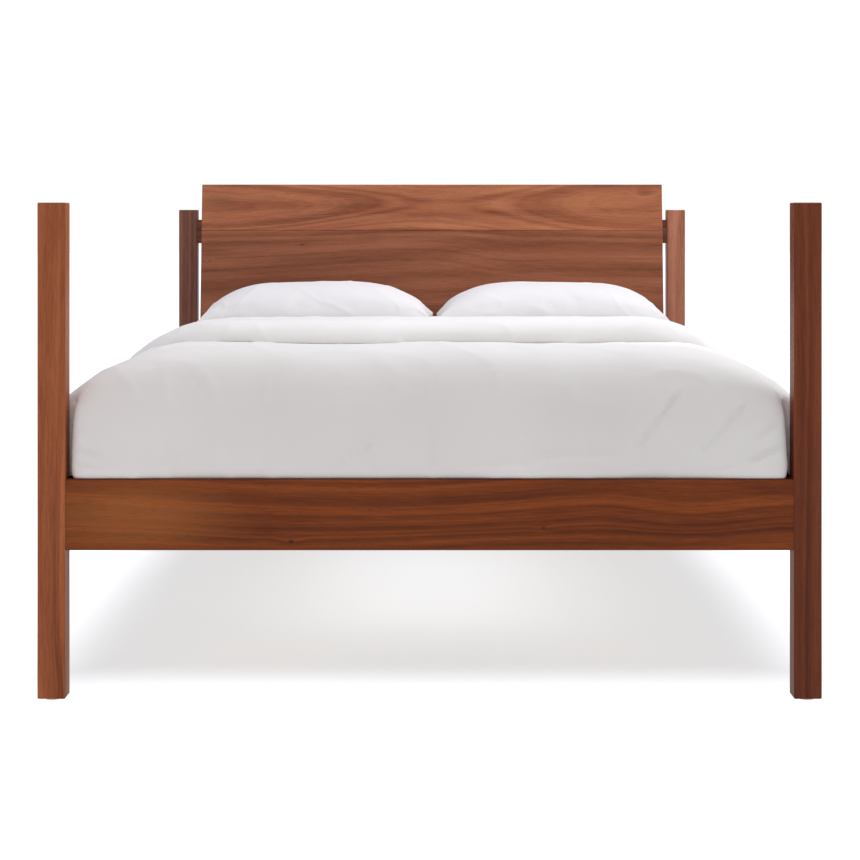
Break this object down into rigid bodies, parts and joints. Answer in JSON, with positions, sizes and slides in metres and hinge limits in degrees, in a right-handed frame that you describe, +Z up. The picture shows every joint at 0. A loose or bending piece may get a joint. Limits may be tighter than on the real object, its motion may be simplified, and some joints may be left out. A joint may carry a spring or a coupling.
{
  "type": "four-post platform bed",
  "caption": "Four-post walnut platform bed with a floating headboard that leans back, slats, centre beam, mattress, duvet and pillows; bedding lifts off.",
  "frame": {"origin": "on the floor, under the middle of the bed's overall length and width", "axes": "+Z up, +Y from the foot of the bed to its head, +X across the bed, to the right as seen from its foot"},
  "size_m": [1.728, 2.22, 1.1538],
  "materials": {
    "walnut_frame": "satin",
    "walnut_headboard": "satin",
    "slat_poplar": "matte",
    "dowel_beech": "matte",
    "zinc_steel": "satin",
    "powder_coated_steel": "satin",
    "nylon": "matte",
    "mattress_ticking": "matte",
    "sheet_cotton": "matte",
    "duvet_cotton": "matte",
    "pillow_cotton": "matte"
  },
  "bodies": {
    "frame": {"foot_post_left": "walnut_frame", "foot_post_right": "walnut_frame", "head_post_left": "walnut_frame", "head_post_right": "walnut_frame", "foot_rail": "walnut_frame", "head_rail": "walnut_frame", "side_rail_left": "walnut_frame", "side_rail_right": "walnut_frame", "upper_crossbar": "walnut_frame", "lower_crossbar": "walnut_frame", "batten_left": "walnut_frame", "batten_centre": "walnut_frame", "batten_right": "walnut_frame", "headboard_upper_board": "walnut_headboard", "headboard_lower_board": "walnut_headboard", "headboard_dowels": "dowel_beech", "slat_ledge_left": "slat_poplar", "slat_ledge_right": "slat_poplar", "slat_01": "slat_poplar", "slat_02": "slat_poplar", "slat_03": "slat_poplar", "slat_04": "slat_poplar", "slat_05": "slat_poplar", "slat_06": "slat_poplar", "slat_07": "slat_poplar", "slat_08": "slat_poplar", "slat_09": "slat_poplar", "slat_10": "slat_poplar", "slat_11": "slat_poplar", "slat_12": "slat_poplar", "slat_13": "slat_poplar", "slat_14": "slat_poplar", "slat_15": "slat_poplar", "batten_screws": "zinc_steel", "crossbar_screws": "zinc_steel", "ledge_screws": "zinc_steel", "slat_screws": "zinc_steel", "bracket_screws": "zinc_steel", "plate_screws": "zinc_steel", "rail_hook_plates": "zinc_steel", "post_slot_plates": "zinc_steel", "centre_beam": "powder_coated_steel", "beam_bracket_foot": "powder_coated_steel", "beam_bracket_head": "powder_coated_steel", "glide_foot_left": "nylon", "glide_foot_right": "nylon", "glide_head_left": "nylon", "glide_head_right": "nylon"},
    "mattress": {"mattress": "mattress_ticking", "fitted_sheet": "sheet_cotton"},
    "duvet": {"duvet": "duvet_cotton"},
    "pillow_left": {"pillow_left": "pillow_cotton"},
    "pillow_right": {"pillow_right": "pillow_cotton"}
  },
  "joints": [
    {"name": "mattress_lift", "type": "slide", "parent": "frame", "child": "mattress", "axis": [0, 0, 1], "range_m": [0, 0.4]},
    {"name": "duvet_lift", "type": "slide", "parent": "mattress", "child": "duvet", "axis": [0, 0, 1], "range_m": [0, 0.25]},
    {"name": "pillow_left_lift", "type": "slide", "parent": "mattress", "child": "pillow_left", "axis": [0, 0, 1], "range_m": [0, 0.25]},
    {"name": "pillow_right_lift", "type": "slide", "parent": "mattress", "child": "pillow_right", "axis": [0, 0, 1], "range_m": [0, 0.25]}
  ]
}
